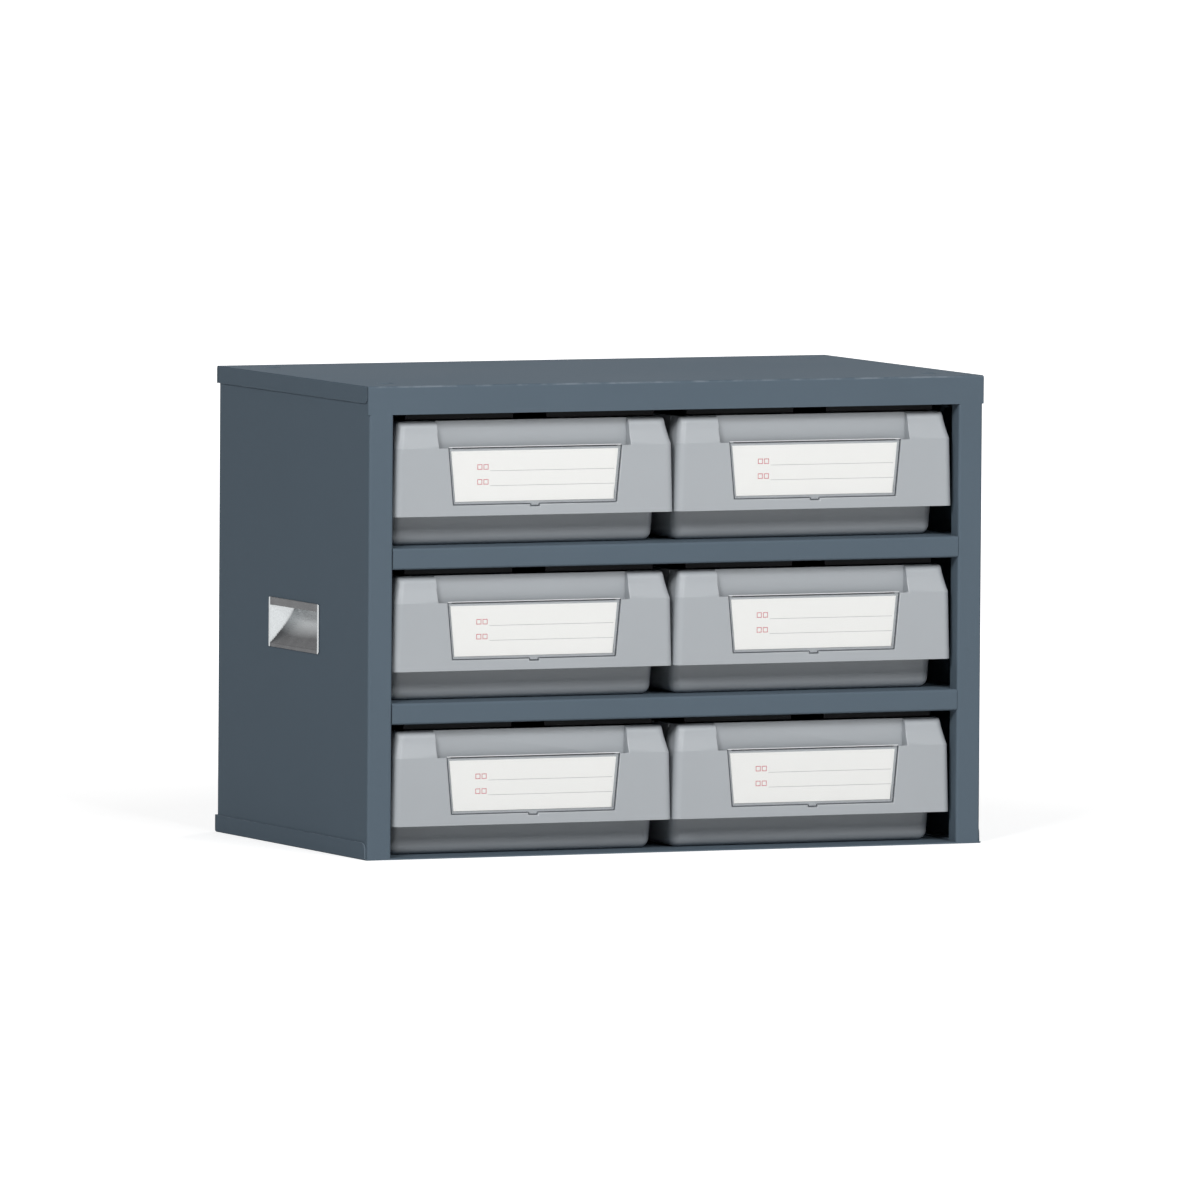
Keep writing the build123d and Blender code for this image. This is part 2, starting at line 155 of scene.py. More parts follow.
floor_lines = np.linspace(-floor_half_width, floor_half_width, floor_line_count)
floor_y, floor_x = np.meshgrid(floor_lines, floor_lines, indexing="ij")
floor_points = np.stack([floor_x, floor_y, np.zeros_like(floor_x)], axis=-1)
floor = mesh_object("floor", floor_points, grid_faces(floor_line_count, floor_line_count))
floor_material, tree, shader = material_with_nodes("pale_floor")
shader.inputs["Base Color"].default_value = floor_tone
shader.inputs["Roughness"].default_value = 0.9
shader.inputs["Specular IOR Level"].default_value = 0.1
shader.inputs["Emission Strength"].default_value = 1.0
from_cabinet = tree.nodes.new("ShaderNodeVectorMath")
from_cabinet.operation = "LENGTH"
tree.links.new(object_place(tree), from_cabinet.inputs[0])
whitening = map_range(tree, from_cabinet.outputs["Value"], glow_near, glow_far, near_distance, far_distance)
glow = math_node(tree, "MULTIPLY", whitening, seen_directly(tree))
tree.links.new(glow, shader.inputs["Emission Color"])
floor.data.materials.append(floor_material)

# ---------------------------------------------------------------- light
# A white room seen by the camera and by gloss, a much dimmer one as fill, and three soft boxes whose
# light slopes down by about 30 degrees: one in front of the cabinet, one off its front left corner,
# and a weak one behind its right side.
room_strength = 1.0
fill_strength = 0.13
cabinet_middle = np.array([0.0, 0.0, 0.19])

world = bpy.data.worlds.new("studio")
bpy.context.scene.world = world
world.use_nodes = True
tree = world.node_tree
background = tree.nodes["Background"]
background.inputs["Color"].default_value = (1, 1, 1, 1)
strength = map_range(tree, seen_directly(tree), fill_strength, room_strength)
tree.links.new(strength, background.inputs["Strength"])


def soft_box(name, place, width, height, watts):
    """Rectangular area light at a place, turned towards the middle of the cabinet."""
    data = bpy.data.lights.new(name, "AREA")
    data.shape = "RECTANGLE"
    data.size = width
    data.size_y = height
    data.energy = watts
    lamp = new_object(name, data)
    across, back, up = cabinet_middle - np.array(place)
    lamp.location = place
    lamp.rotation_mode = "XYZ"
    lamp.rotation_euler = (math.atan2(math.hypot(across, back), -up), 0, math.atan2(-across, back))


soft_box("front_box", place=(0.58, -6.68, 4.55), width=2.6, height=2.2, watts=285)
soft_box("left_box", place=(-4.90, -4.90, 4.19), width=2.0, height=1.8, watts=290)
soft_box("back_box", place=(5.68, 3.98, 4.19), width=2.4, height=2.0, watts=115)
bpy.context.scene.view_settings.view_transform = "Standard"

# ---------------------------------------------------------------- carcass sheets
# Sheet steel, cut, folded and joined face to face: top cover, side panels, tray, shelves and back are
# powder-coated blue-grey, and the three toothed stop strips are near black, a painted shade for the
# shadow under the rails. The coat has a faint orange-peel skin, and is lighter along the sheets' cut
# edges, partly rubbed thin and partly a painted highlight, and along the top's folds, a painted highlight.
cut_edge = 0.00025
# Painted highlight on the top cover's folds, standing in for the gloss highlight of the bends.
painted_fold_highlight = 0.8
# A CAD node's facets are merged, joined where they are flat, and rounded where they meet sharply.
same_point = 2e-6
flat_below = math.radians(0.5)
smooth_below = math.radians(20)
short_edge = 1.5
fold_facet = 0.0013
square_on = 0.97


def eased_copy(node, width, segments=2, reshape=None, recut=None, folds_painted_light=0.0, smooth_to=smooth_below):
    """Copy of a CAD node with its flat faces joined and its sharp edges rounded to width.

    reshape may change the points first, and recut the joined faces. Edges that turn by more than
    smooth_to are rounded, but next to an edge shorter than one and a half widths they stay sharp,
    and so do the ends of the rounded strips there. The attribute edge is 1 on the rounded strips,
    for wear and a painted highlight, and on the folds' facets, which are narrow and not square to
    the cabinet, it holds the value given for a painted highlight there.
    """
    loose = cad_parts[node].data.copy()
    if reshape:
        points = np.empty(len(loose.vertices) * 3, np.float32)
        loose.vertices.foreach_get("co", points)
        moved = reshape(node, points.reshape(-1, 3).astype(float))
        loose.vertices.foreach_set("co", moved.ravel().astype(np.float32))
    work = bmesh.new()
    work.from_mesh(loose)
    bpy.data.meshes.remove(loose)
    bmesh.ops.remove_doubles(work, verts=work.verts, dist=same_point)
    bmesh.ops.dissolve_limit(work, angle_limit=flat_below, verts=work.verts, edges=work.edges)
    if recut:
        recut(node, work)
    tight = {v for e in work.edges if e.calc_length() < short_edge * width for v in e.verts}
    creases = [e for e in work.edges if len(e.link_faces) == 2 and e.calc_face_angle(0) > smooth_to]
    sharp = [e for e in creases if not tight.intersection(e.verts)]
    for e in creases:
        e.smooth = not tight.intersection(e.verts)
    narrow = [f for f in work.faces if 2 * f.calc_area() < fold_facet * f.calc_perimeter()
              and max(abs(part) for part in f.normal) < square_on]
    rounded = bmesh.ops.bevel(work, geom=sharp, offset=width, offset_type="OFFSET", segments=segments,
                              profile=0.5, affect="EDGES", clamp_overlap=False)["faces"]
    strips = set(rounded)
    ends = {v for e in work.edges if not e.smooth for v in e.verts}
    for e in work.edges:
        if ends.intersection(e.verts) and len(strips.intersection(e.link_faces)) == 1:
            e.smooth = False
    edge = work.loops.layers.float.new("edge")
    # The edge attribute carries rubbed wear and painted highlights: 1 on the rounded strips, the fold value
    # on the fold facets.
    worn_and_highlit = [(face, folds_painted_light) for face in narrow if face.is_valid]
    worn_and_highlit += [(face, 1.0) for face in rounded]
    for face, wear_and_highlight in worn_and_highlit:
        for corner in face.loops:
            corner[edge] = wear_and_highlight
    for face in work.faces:
        face.smooth = True
    mesh = bpy.data.meshes.new(node + "_eased")
    work.to_mesh(mesh)
    work.free()
    made = new_object(node + "_piece", mesh)
    made.modifiers.new("weighted_normals", "WEIGHTED_NORMAL").keep_sharp = True
    return made


def noise(tree, scale, detail, vector=None):
    """Noise from 0 to 1 with scale cells per metre, on Object coordinates or on the vector given."""
    node = tree.nodes.new("ShaderNodeTexNoise")
    feed(tree, scale, node.inputs["Scale"])
    node.inputs["Detail"].default_value = detail
    if vector is None:
        vector = object_place(tree)
    tree.links.new(vector, node.inputs["Vector"])
    return node.outputs["Fac"]


def attribute_value(tree, name):
    """Value of one of the piece's own attributes."""
    node = tree.nodes.new("ShaderNodeAttribute")
    node.attribute_name = name
    return node.outputs["Fac"]


def mix_colour(tree, factor, first, second):
    """Colour between two, each a socket or a colour. The Mix node's colour sockets are 6 and 7."""
    node = tree.nodes.new("ShaderNodeMix")
    node.data_type = "RGBA"
    for index, value in ((0, factor), (6, first), (7, second)):
        feed(tree, value, node.inputs[index])
    return node.outputs[2]


def relief(tree, shader, height, strength, distance):
    """Bump from a height, to the shader's normal."""
    bump = tree.nodes.new("ShaderNodeBump")
    bump.inputs["Strength"].default_value = strength
    bump.inputs["Distance"].default_value = distance
    tree.links.new(height, bump.inputs["Height"])
    tree.links.new(bump.outputs["Normal"], shader.inputs["Normal"])


def effect_group(name, inputs, outputs):
    """New shader node group with these number sockets, and its input and output nodes."""
    group = bpy.data.node_groups.new(name, "ShaderNodeTree")
    for direction, sockets in (("INPUT", inputs), ("OUTPUT", outputs)):
        for socket in sockets:
            group.interface.new_socket(socket, in_out=direction, socket_type="NodeSocketFloat")
    return group, group.nodes.new("NodeGroupInput"), group.nodes.new("NodeGroupOutput")


def use_group(tree, group, values):
    """Places a node group in a tree with a number for each of its inputs, and gives its outputs."""
    node = tree.nodes.new("ShaderNodeGroup")
    node.node_tree = group
    for name, value in values.items():
        node.inputs[name].default_value = value
    return node.outputs


# Lighter edges, partly wear and partly a painted highlight: the edge attribute broken up by noise, so that
# they come and go along an edge.
edge_wear_and_highlight, inside, outside = effect_group("worn_and_highlit_edges", ["Amount", "Patch Scale"], ["Mask"])
patch_noise = noise(edge_wear_and_highlight, inside.outputs["Patch Scale"], detail=4.0)
patches = map_range(edge_wear_and_highlight, patch_noise, 0.0, 1.0, from_low=0.42, from_high=0.62)
patchy = math_node(edge_wear_and_highlight, "MULTIPLY", attribute_value(edge_wear_and_highlight, "edge"), patches)
mask = math_node(edge_wear_and_highlight, "MULTIPLY", patchy, inside.outputs["Amount"])
edge_wear_and_highlight.links.new(mask, outside.inputs["Mask"])

# Skin: the fine relief of a sprayed or moulded surface, as a height and a slow tone variation.
skin, inside, outside = effect_group("fine_skin", ["Grain Scale", "Cloud Scale"], ["Height", "Cloud"])
skin.links.new(noise(skin, inside.outputs["Grain Scale"], detail=2.0), outside.inputs["Height"])
skin.links.new(noise(skin, inside.outputs["Cloud Scale"], detail=5.0), outside.inputs["Cloud"])

coat_specular = 0.02
coat_spread = 0.06


def powder_coat(name, tone, edge_light_tone, wear_and_highlight):
    """Satin powder coat of a tone, lighter where the edges are rubbed thin and where a painted highlight
    lies on them.
    """
    material, tree, shader = material_with_nodes(name)
    coat_skin = use_group(tree, skin, {"Grain Scale": 1100.0, "Cloud Scale": 7.0})
    dark = tuple(value * (1 - coat_spread) for value in tone) + (1,)
    light = tuple(value * (1 + coat_spread) for value in tone) + (1,)
    body = mix_colour(tree, coat_skin["Cloud"], dark, light)
    edges = use_group(tree, edge_wear_and_highlight, {"Amount": wear_and_highlight, "Patch Scale": 60.0})
    # Edge colour: partly rubbed wear, partly a painted highlight along edges and folds.
    colour = mix_colour(tree, edges["Mask"], body, edge_light_tone + (1,))
    tree.links.new(colour, shader.inputs["Base Color"])
    roughness = map_range(tree, coat_skin["Cloud"], 0.56, 0.70)
    tree.links.new(roughness, shader.inputs["Roughness"])
    relief(tree, shader, coat_skin["Height"], strength=0.35, distance=0.00012)
    shader.inputs["Specular IOR Level"].default_value = coat_specular
    return material


coat = powder_coat("blue_grey_coat", tone=(0.107, 0.142, 0.176), edge_light_tone=(0.27, 0.31, 0.35), wear_and_highlight=0.55)
# Near-black coat on the stop strips: a painted shade for the shadow they hang in under the rails.
charcoal = powder_coat("charcoal_coat", tone=(0.030, 0.031, 0.033), edge_light_tone=(0.08, 0.08, 0.085), wear_and_highlight=0.4)
carcass_sheets = ["top_cover", "left_side_panel", "right_side_panel", "bottom_tray", "upper_shelf",
                  "lower_shelf", "back_panel", "top_stop_strip", "upper_stop_strip", "lower_stop_strip"]
for node in carcass_sheets:
    piece = eased_copy(node, cut_edge, folds_painted_light=painted_fold_highlight if node == "top_cover" else 0.0)
    piece.data.materials.append(charcoal if "strip" in node else coat)
    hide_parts(node)
    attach(piece, "cabinet")

# ---------------------------------------------------------------- back rivets
# Blind rivets of steel that hold the back panel: a domed head with the broken mandrel sunk in its
# middle, and a short shank. They are set before the cabinet is coated, so they have its colour.
head_radius = 0.004
head_rise = 0.001
head_inner_rise = head_rise * 0.9
mandrel_radius = 0.0011
mandrel_edge_radius = mandrel_radius * 0.9
mandrel_edge_rise = head_rise * 0.4
mandrel_middle_rise = head_rise * 0.35
shank_radius = 0.00188
shank_length = 0.0022
rivet_rows = 3
rivet_sides = 28
dome_lines = 8


def box_corners(node):
    """Lowest and highest corner of a CAD node, as arrays."""
    return (np.array(corner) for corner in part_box(node))


def turned_solid(profile, middles, axis_start):
    """Points and faces of a closed profile turned round lines along +Y.

    profile has a radius and a distance along +Y per row, from axis to axis. A point is the
    middle's x plus radius times cosine, its z plus radius times sine, and the start plus the distance.
    """
    angles = np.linspace(0, 2 * math.pi, rivet_sides, endpoint=False)
    ring = np.stack([np.cos(angles), np.zeros(rivet_sides), np.sin(angles)], axis=1)
    radius, along = np.array(profile).T
    one = radius[:, None, None] * ring[None] + np.array([0, 1, 0]) * (axis_start + along)[:, None, None]
    points = one.reshape(1, -1, 3) + np.array([[x, 0, z] for x, z in middles])[:, None, :]
    row_start = np.arange(len(profile) - 1)[:, None] * rivet_sides
    start = (row_start + np.arange(rivet_sides)).ravel()
    after = (row_start + (np.arange(rivet_sides) + 1) % rivet_sides).ravel()
    quads = np.stack([start, after, after + rivet_sides, start + rivet_sides], axis=1)
    solid_start = np.arange(len(middles)) * len(profile) * rivet_sides
    return points.reshape(-1, 3), (quads[None] + solid_start[:, None, None]).reshape(-1, 4)


def close_and_turn_out(piece):
    """Merges doubled points, as on a turned solid's axis, and turns the faces outwards."""
    work = bmesh.new()
    work.from_mesh(piece.data)
    bmesh.ops.remove_doubles(work, verts=work.verts, dist=same_point)
    bmesh.ops.recalc_face_normals(work, faces=work.faces)
    work.to_mesh(piece.data)
    work.free()


# The dome's rise is the head's times the root of one less the squared share of the radius.
dome_radii = np.linspace(mandrel_radius, head_radius, dome_lines)[1:]
dome_rises = head_rise * np.sqrt(np.clip(1 - (dome_radii / head_radius) ** 2, 0, None))
rivet_profile = [(0, mandrel_middle_rise), (mandrel_edge_radius, mandrel_edge_rise),
                 (mandrel_radius, head_inner_rise), *zip(dome_radii, dome_rises),
                 (shank_radius, 0), (shank_radius, -shank_length), (0, -shank_length)]
rivets_low, rivets_high = box_corners("back_rivets")
rivet_x = rivets_high[0] - head_radius
rivet_heights = np.linspace(rivets_low[2] + head_radius, rivets_high[2] - head_radius, rivet_rows)
rivet_middles = [(side * rivet_x, height) for side in (-1, 1) for height in rivet_heights]
rivets = mesh_object("rivets", *turned_solid(rivet_profile, rivet_middles, rivets_high[1] - head_rise))
close_and_turn_out(rivets)
rivets.data.materials.append(coat)
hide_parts("back_rivets")
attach(rivets, "cabinet")

# ---------------------------------------------------------------- carrying grips
# Cups of bright sheet steel, stamped in one stroke and pressed into a window in each side panel.
# The scoop is deepest under a hood at its top, its ends slope, and a bead stiffens each end.
grip_skin = 0.0006
grip_border = 0.003
grip_corner = 0.002
bead_rise = 0.0005
scoop_depth = 0.0166
scoop_hollow = 0.0016
end_slope = 0.013
hood_height = 0.0065
crease_width = 0.0002
# Lines of the grid over a border and on to the middle, and over the lower border, scoop and hood.
length_lines = (9, 62)
height_lines = (7, 44, 12)
# How dark the painted reflection is at the scoop's foot, how fast that falls, more at the ends, and the
# painted shade under the hood.
foot_painted_dark = 1.55
painted_dark_fall = 2.5
ends_painted_dark = 0.3
hood_painted_shade = 0.95


def grip_surface(length, height):
    """Outer skin of a grip as a grid over its length and height.

    Returns the place along the length, the height and the depth behind the border, and how dark
    the grip is painted, from 0 to 1: a painted reflection of dark surroundings low in the scoop and
    painted shade under the hood. The depth is the smaller of the scoop's, which grows with the
    height and bulges by its hollow, and the sloping ends', which grows with the distance from the
    nearer end, less the bead's half round. The corners of the border are pulled in to a round.
    """
    hood_at = height - hood_height
    along = np.concatenate([np.linspace(0, grip_border, length_lines[0]),
                            np.linspace(grip_border, length / 2, length_lines[1])[1:]])
    along = np.concatenate([along, length - along[-2::-1]])
    up = np.concatenate([np.linspace(0, grip_border, height_lines[0]),
                         np.linspace(grip_border, hood_at, height_lines[1])[1:],
                         np.linspace(hood_at + crease_width, height, height_lines[2])])
    y, z = np.meshgrid(along, up, indexing="ij")
    from_end = np.minimum(y, length - y)
    climb = np.clip((z - grip_border) / (hood_at - grip_border), 0, 1)
    scoop = scoop_depth * climb + scoop_hollow * 4 * climb * (1 - climb)
    ends = np.clip(from_end - grip_border, 0, None) * scoop_depth / end_slope
    bead = np.sqrt(np.clip(1 - ((from_end - grip_border / 2) / (grip_border / 2)) ** 2, 0, 1))
    depth = np.where(z > hood_at, 0.0, np.minimum(scoop, ends)) - bead_rise * bead
    # Painted darkness: a painted dark reflection strongest at the scoop's foot and ends, and painted shade
    # under the hood.
    scoop_painted_dark = np.clip(foot_painted_dark - climb * painted_dark_fall + ends_painted_dark * (2 * y / length - 1) ** 2, 0, 1)
    painted_dark = np.where(z > hood_at, hood_painted_shade, np.where(scoop < ends, scoop_painted_dark, 0.0))
    corner_y = np.clip(y, grip_corner, length - grip_corner)
    corner_z = np.clip(z, grip_corner, height - grip_corner)
    reach = np.hypot(y - corner_y, z - corner_z)
    pull = np.divide(grip_corner, reach, out=np.ones_like(reach), where=reach > grip_corner)
    y, z = corner_y + (y - corner_y) * pull, corner_z + (z - corner_z) * pull
    return y, z, depth, painted_dark * (from_end > grip_border)


def mark(piece, name, values, domain):
    """Stores a number for each point or face of a piece, under a name that its material reads."""
    attribute = piece.data.attributes.new(name, "FLOAT", domain)
    attribute.data.foreach_set("value", values.ravel().astype(np.float32))


def give_thickness(piece, thickness):
    """Turns a skin into a closed sheet, by a second face behind the first."""
    wall = piece.modifiers.new("thickness", "SOLIDIFY")
    wall.thickness = thickness
    wall.offset = -1.0


# The bright steel has fine streaks along its length. It is painted dark low in the scoop and under the
# hood: a painted reflection of dark surroundings and painted shade.
grip_steel, tree, shader = material_with_nodes("stamped_steel")
shader.inputs["Metallic"].default_value = 1.0
bright_tones = ((0.46, 0.48, 0.49, 1), (0.54, 0.56, 0.57, 1))
# Near-black tone of the painted reflection in the scoop and the painted shade under the hood.
painted_dark_tone = (0.030, 0.030, 0.034, 1)
streaks_at = tree.nodes.new("ShaderNodeMapping")
streaks_at.inputs["Scale"].default_value = (1.0, 0.06, 1.0)
tree.links.new(object_place(tree), streaks_at.inputs["Vector"])
streaks = noise(tree, scale=1400.0, detail=3.0, vector=streaks_at.outputs["Vector"])
haze = map_range(tree, noise(tree, scale=90.0, detail=3.0), 0.88, 1.0)
painted_dark_mask = math_node(tree, "MULTIPLY", attribute_value(tree, "painted_dark"), haze)
steel_colour = mix_colour(tree, painted_dark_mask, mix_colour(tree, streaks, *bright_tones), painted_dark_tone)
tree.links.new(steel_colour, shader.inputs["Base Color"])
tree.links.new(map_range(tree, streaks, 0.20, 0.38), shader.inputs["Roughness"])
relief(tree, shader, streaks, strength=0.15, distance=0.00005)

for side, node in ((-1, "left_handle_cup"), (1, "right_handle_cup")):
    grip_low, grip_high = box_corners(node)
    along, up, depth, painted_dark = grip_surface(*(grip_high - grip_low)[1:])
    face_x = max(abs(grip_low[0]), abs(grip_high[0])) - bead_rise
    grip_points = np.stack([side * (face_x - depth), grip_low[1] + along, grip_low[2] + up], axis=-1)
    # the order of a face's points is turned round on the right, so that the faces point outwards
    grip_quads = grid_faces(*along.shape)[:, ::-side]
    piece = mesh_object(node + "_stamping", grip_points, grip_quads)
    mark(piece, "painted_dark", painted_dark, "POINT")
    give_thickness(piece, grip_skin)
    piece.data.materials.append(grip_steel)
    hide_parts(node)
    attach(piece, "cabinet")

# ---------------------------------------------------------------- drawers
# Six grey bins, injection moulded in one piece each, with a fine matt skin and soft edges. Each
# slides on the sheet below it, until two ears behind its rim catch the toothed stop strip. The label
# plate in front has leaning shoulders, and a finger pocket behind it.
plastic, tree, shader = material_with_nodes("grey_moulding")
plastic_tones = ((0.382, 0.406, 0.428, 1), (0.410, 0.434, 0.458, 1))
# Lighter edges on the bins, partly rubbed wear and partly a painted highlight, such as the bright line
# along the fascia's lower lip.
worn_and_highlit_plastic = (0.62, 0.64, 0.66, 1)
mould_skin = use_group(tree, skin, {"Grain Scale": 1600.0, "Cloud Scale": 14.0})
plastic_body = mix_colour(tree, mould_skin["Cloud"], *plastic_tones)
plastic_edge_wear_and_highlight = use_group(tree, edge_wear_and_highlight, {"Amount": 0.35, "Patch Scale": 30.0})
plastic_colour = mix_colour(tree, plastic_edge_wear_and_highlight["Mask"], plastic_body, worn_and_highlit_plastic)
tree.links.new(plastic_colour, shader.inputs["Base Color"])
shader.inputs["Roughness"].default_value = 0.42
relief(tree, shader, mould_skin["Height"], strength=0.25, distance=0.00008)

drawer_names = [row + "_" + side + "_drawer"
                for row in ("bottom", "middle", "top") for side in ("left", "right")]
moulded_edge = 0.0007
moulded_segments = 3
smooth_below_moulded = math.radians(38)
# Places on a drawer are measured from its middle, its front and its bottom.
shoulder_foot = 0.0785
shoulder_height = 0.0215
shoulder_lean = 0.006
shoulder_hollow = 0.001
front_skin = 0.012
fascia_deep = 0.02405
# In front view the fascia's upper corners are crisper on the real bin than in the CAD solid.
side_run = 0.0044
side_lean = math.atan2(side_run, shoulder_height)
corner_round = 0.008
crisp_round = 0.0025
round_middle = (0.10947, 0.092)
crisp_middle = (0.11396, 0.0975)
round_margin = 1.01
# The pocket's back wall stands upright behind the label plate on the real bin, and the bin's front
# wall leans only below it: the folds' heights, the wall's depth, and what finds the CAD's wall.
wall_folds = (0.0665, 0.0755)
upright_wall = 0.0106
leaning_wall = (0.0104, 0.0240)
wall_area = 0.005
faces_forward = -0.98


def shoulder_face(height):
    """How far back the shoulder's face is at a height: the lean times the share of the height,
    plus the hollow times four times the share times one less the share."""
    share = np.clip((height - shoulder_foot) / shoulder_height, 0, 1)
    return shoulder_lean * share + shoulder_hollow * 4 * share * (1 - share)


def crisp_reach(angle):
    """Distance from the large round's middle to the crisp outline, in a direction.

    A ray meets the small round at the distance of its middle along the ray, plus the root of that
    distance squared, less the shift between the middles squared, plus the small radius squared.
    Past the small round's ends it meets a straight edge, at the large radius divided by the sine,
    or by the cosine of the angle from the side's lean, whichever is nearer.
    """
    ray_x, ray_z = np.cos(angle), np.sin(angle)
    straight = np.minimum(corner_round / ray_z, corner_round / np.cos(angle - side_lean))
    shift_x, shift_z = crisp_middle[0] - round_middle[0], crisp_middle[1] - round_middle[1]
    ahead = ray_x * shift_x + ray_z * shift_z
    root = np.sqrt(np.clip(ahead ** 2 - shift_x ** 2 - shift_z ** 2 + crisp_round ** 2, 0, None))
    turned = np.arctan2(ray_z * (ahead + root) - shift_z, ray_x * (ahead + root) - shift_x)
    on_round = (root > 0) & (turned > side_lean) & (turned < math.pi / 2)
    return np.where(on_round, ahead + root, straight)


def crisp_corners(node, points):
    """Moves the points of a fascia's rounded upper corners outwards, to a smaller round.

    A point moves away from the middle of the large round in proportion to the square of its
    distance from it, so that the large round lands on the straight edges and the small round.
    Points of the front skin also move back or forth, along the shoulder's leaning face.
    """
    low, high = box_corners(node)
    middle_x = (low[0] + high[0]) / 2
    out = np.abs(points[:, 0] - middle_x) - round_middle[0]
    up = points[:, 2] - low[2] - round_middle[1]
    reach, angle = np.hypot(out, up), np.arctan2(up, out)
    inside = ((reach > same_point) & (reach < corner_round * round_margin) & (angle > side_lean)
              & (angle < math.pi / 2) & (points[:, 1] - low[1] < fascia_deep))
    out, up, reach, angle = out[inside], up[inside], reach[inside], angle[inside]
    growth = 1 + (crisp_reach(angle) / corner_round - 1) * np.clip(reach / corner_round, 0, 1) ** 2
    old = points[inside]
    side = np.sign(old[:, 0] - middle_x)
    height = round_middle[1] + up * growth
    slide = shoulder_face(height) - shoulder_face(old[:, 2] - low[2])
    on_skin = old[:, 1] - low[1] < front_skin
    moved = points.copy()
    moved[inside, 0] = middle_x + side * (round_middle[0] + out * growth)
    moved[inside, 1] += np.where(on_skin, slide, 0.0)
    moved[inside, 2] = low[2] + height
    return moved


def upright_pocket_wall(node, work):
    """Cuts the outer face of the bin's front wall at two heights and moves it forward above them.

    The points of the upper cut move to the depth of the upright wall, and those of the lower cut
    stay, so that the wall is upright above the upper cut and slants between the two.
    """
    low = np.array(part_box(node)[0])
    wall = [f for f in work.faces if f.normal.y < faces_forward and f.calc_area() > wall_area
            and leaning_wall[0] < f.calc_center_median().y - low[1] < leaning_wall[1]]
    for height in wall_folds:
        parts = set(wall) | {e for f in wall for e in f.edges} | {v for f in wall for v in f.verts}
        cut = bmesh.ops.bisect_plane(work, geom=list(parts), dist=same_point,
                                     plane_co=(0, 0, low[2] + height), plane_no=(0, 0, 1))
        wall = [f for f in cut["geom"] if isinstance(f, bmesh.types.BMFace)]
        on_cut = {v for v in cut["geom_cut"] if isinstance(v, bmesh.types.BMVert)}
    for v in on_cut:
        v.co.y = low[1] + upright_wall


for node in drawer_names:
    piece = eased_copy(node, moulded_edge, moulded_segments, crisp_corners, upright_pocket_wall,
                       smooth_to=smooth_below_moulded)
    piece.data.materials.append(plastic)
    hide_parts(node)
    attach(piece, node)

# ---------------------------------------------------------------- label covers
# Clear moulded plates that hook over the label plate's top edge and hold the card. Their cut edges
# are painted: a painted shade at the sides and the bottom, and a painted highlight on the lip at the top.
cover_edge = 0.0005
lip_faces_up = 0.5
plate_faces_front = 0.9
haze_tones = ((0.80, 0.82, 0.84, 1), (0.88, 0.90, 0.92, 1))
# Painted shade on the cut edges at the sides and the bottom, and a painted highlight on the lip that faces
# up.
painted_rim_shade = (0.055, 0.065, 0.080, 1)
painted_lip_highlight = (0.90, 0.91, 0.92, 1)

clear, tree, shader = material_with_nodes("clear_plate")
shader.inputs["Roughness"].default_value = 0.07
lip_here = attribute_value(tree, "lip")
rim_here = attribute_value(tree, "rim")
faint = mix_colour(tree, noise(tree, scale=60.0, detail=2.0), *haze_tones)
clear_colour = mix_colour(tree, lip_here, mix_colour(tree, rim_here, faint, painted_rim_shade), painted_lip_highlight)
tree.links.new(clear_colour, shader.inputs["Base Color"])
opacity = map_range(tree, math_node(tree, "MAXIMUM", rim_here, lip_here), 0.03, 0.92)
tree.links.new(opacity, shader.inputs["Alpha"])


def mark_rims(piece):
    """Marks with 1 the faces that face up (lip), for a painted highlight, and the other cut edges (rim),
    for painted shade.
    """
    normals = np.empty(len(piece.data.polygons) * 3, np.float32)
    piece.data.polygons.foreach_get("normal", normals)
    away, up = normals.reshape(-1, 3).T[1:]
    lip = up > lip_faces_up
    mark(piece, "rim", (np.abs(away) < plate_faces_front) & ~lip, "FACE")
    mark(piece, "lip", lip, "FACE")


for drawer in drawer_names:
    node = drawer.replace("drawer", "label_cover")
    piece = eased_copy(node, cover_edge, segments=1)
    mark_rims(piece)
    piece.data.materials.append(clear)
    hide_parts(node)
    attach(piece, drawer)

# ---------------------------------------------------------------- label cards
# Off-white card cut to the window's shape, a little smaller than the clear cover that holds it. Two
# thin rules are printed across it, and two small open red squares stand before each rule.
card_inset = 0.0016
card_gap = 0.0001
card_thickness = 0.0004
card_slope = 0.093
rule_heights = (0.0122, 0.0241)
rule_width = 0.00038
rule_span = (-0.0385, 0.0695)
square_size = 0.0043
square_line = 0.0006
square_rise = 0.0012
square_starts = (-0.0500, -0.0446)


def printed_material(name, light_tone, dark_tone, rough):
    """Fibrous paper between two tones, or ink on it."""
    material, tree, shader = material_with_nodes(name)
    fibres = noise(tree, scale=2600.0, detail=3.0)
    tree.links.new(mix_colour(tree, fibres, dark_tone, light_tone), shader.inputs["Base Color"])
    shader.inputs["Roughness"].default_value = rough
    relief(tree, shader, fibres, strength=0.1, distance=0.00003)
    return material


paper = printed_material("off_white_card", (0.88, 0.88, 0.86, 1), (0.85, 0.85, 0.83, 1), rough=0.75)
grey_ink = printed_material("grey_rule_ink", (0.50, 0.50, 0.50, 1), (0.34, 0.34, 0.35, 1), rough=0.6)
red_ink = printed_material("red_mark_ink", (0.66, 0.20, 0.22, 1), (0.48, 0.09, 0.11, 1), rough=0.6)


def square_borders(start):
    """Where the line of an open square begins and ends, on the near side and on the far side."""
    end = start + square_size
    return start, start + square_line, end - square_line, end


def between(values, low, high):
    """Where the values lie between two others."""
    return (values > low) & (values < high)


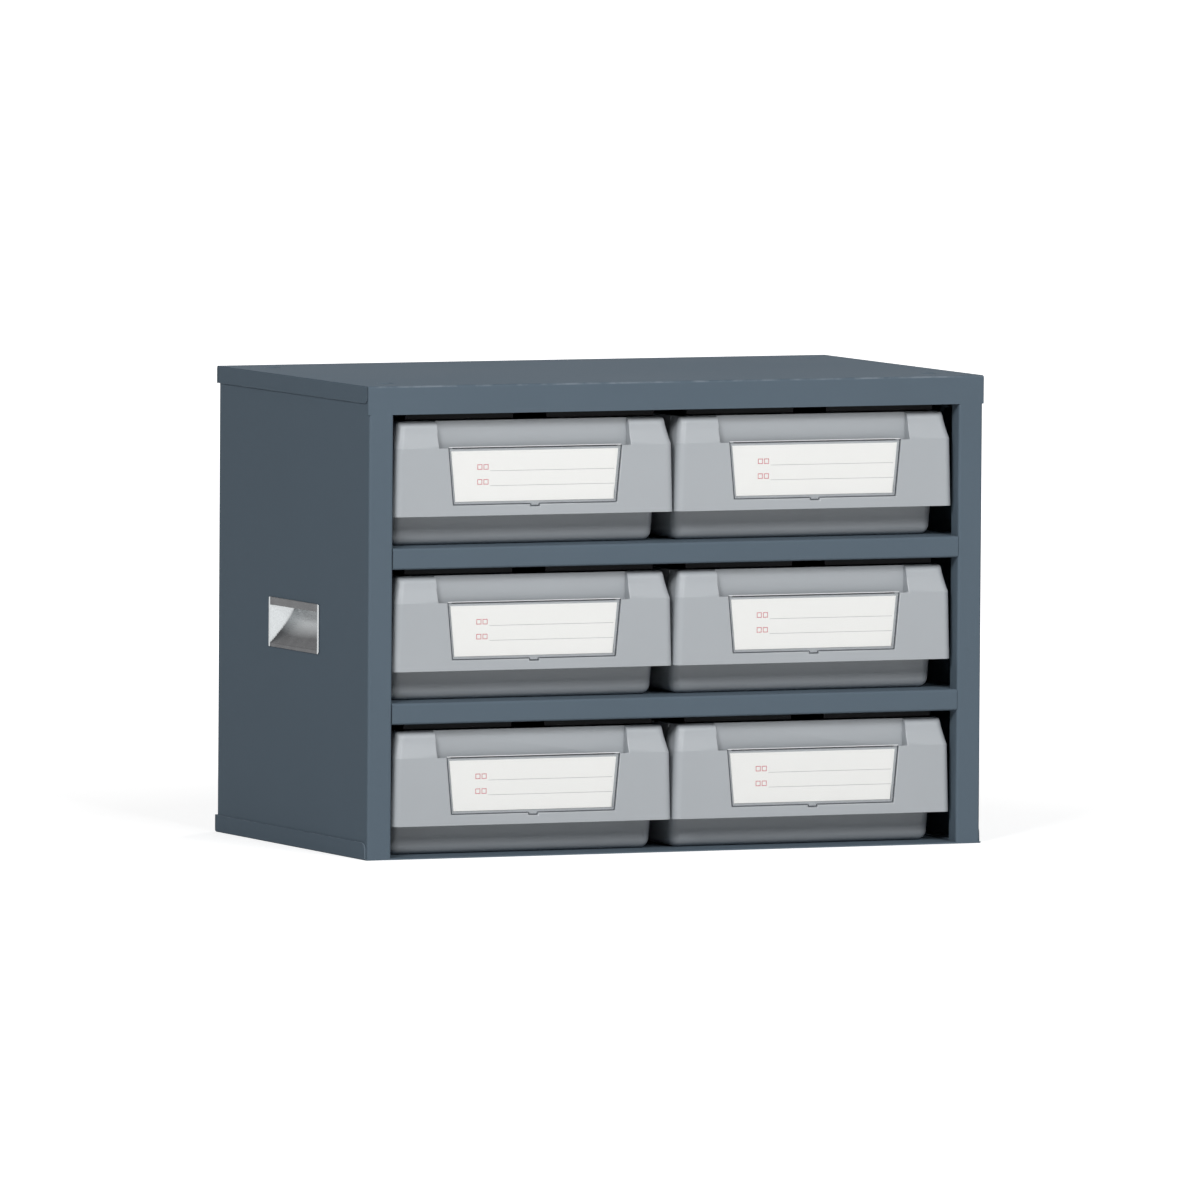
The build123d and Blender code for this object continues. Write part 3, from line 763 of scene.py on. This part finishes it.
def card_cells(half_top, height):
    """Card face as a grid of cells whose borders follow the print, and the ink of each cell.

    Inner columns stand at fixed places. The outer ones follow the slanted sides: half the width
    is the top's half less the slope times the distance below the top. The ink is 0 for bare paper,
    1 for the grey rules and 2 for the red squares.
    """
    squares_x = [square_borders(start) for start in square_starts]
    squares_z = [square_borders(rule + square_rise) for rule in rule_heights]
    rules_z = [(rule, rule + rule_width) for rule in rule_heights]
    columns = np.sort(np.concatenate([rule_span, *squares_x]))
    rows = np.sort(np.concatenate([(0.0, height), *rules_z, *squares_z]))
    half = half_top - card_slope * (height - rows)
    inner = np.broadcast_to(columns, (len(rows), len(columns)))
    x = np.concatenate([-half[:, None], inner, half[:, None]], axis=1)
    z = np.repeat(rows[:, None], x.shape[1], axis=1)
    middle_x = (x[:-1, :-1] + x[1:, 1:]) / 2
    middle_z = (z[:-1, :-1] + z[1:, 1:]) / 2
    ink = np.zeros(middle_x.shape, int)
    for rule in rules_z:
        ink[between(middle_z, *rule) & between(middle_x, *rule_span)] = 1
    for left, inner_left, inner_right, right in squares_x:
        for bottom, inner_bottom, inner_top, top in squares_z:
            square = between(middle_x, left, right) & between(middle_z, bottom, top)
            hollow = between(middle_x, inner_left, inner_right) & between(middle_z, inner_bottom, inner_top)
            ink[square & ~hollow] = 2
    return x, z, ink


for drawer in drawer_names:
    node = drawer.replace("drawer", "label_card")
    card_low, card_high = box_corners(node)
    card_middle = (card_low[0] + card_high[0]) / 2
    half_top = (card_high[0] - card_low[0]) / 2 - card_inset
    x, z, ink = card_cells(half_top, card_high[2] - card_low[2] - card_inset)
    card_y = np.full(x.shape, card_low[1] + card_gap)
    card_points = np.stack([card_middle + x, card_y, card_low[2] + card_inset + z], axis=-1)
    piece = mesh_object(node + "_printed", card_points, grid_faces(*x.shape), smooth=False)
    for material in (paper, grey_ink, red_ink):
        piece.data.materials.append(material)
    piece.data.polygons.foreach_set("material_index", ink.ravel())
    give_thickness(piece, card_thickness)
    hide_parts(node)
    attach(piece, drawer)
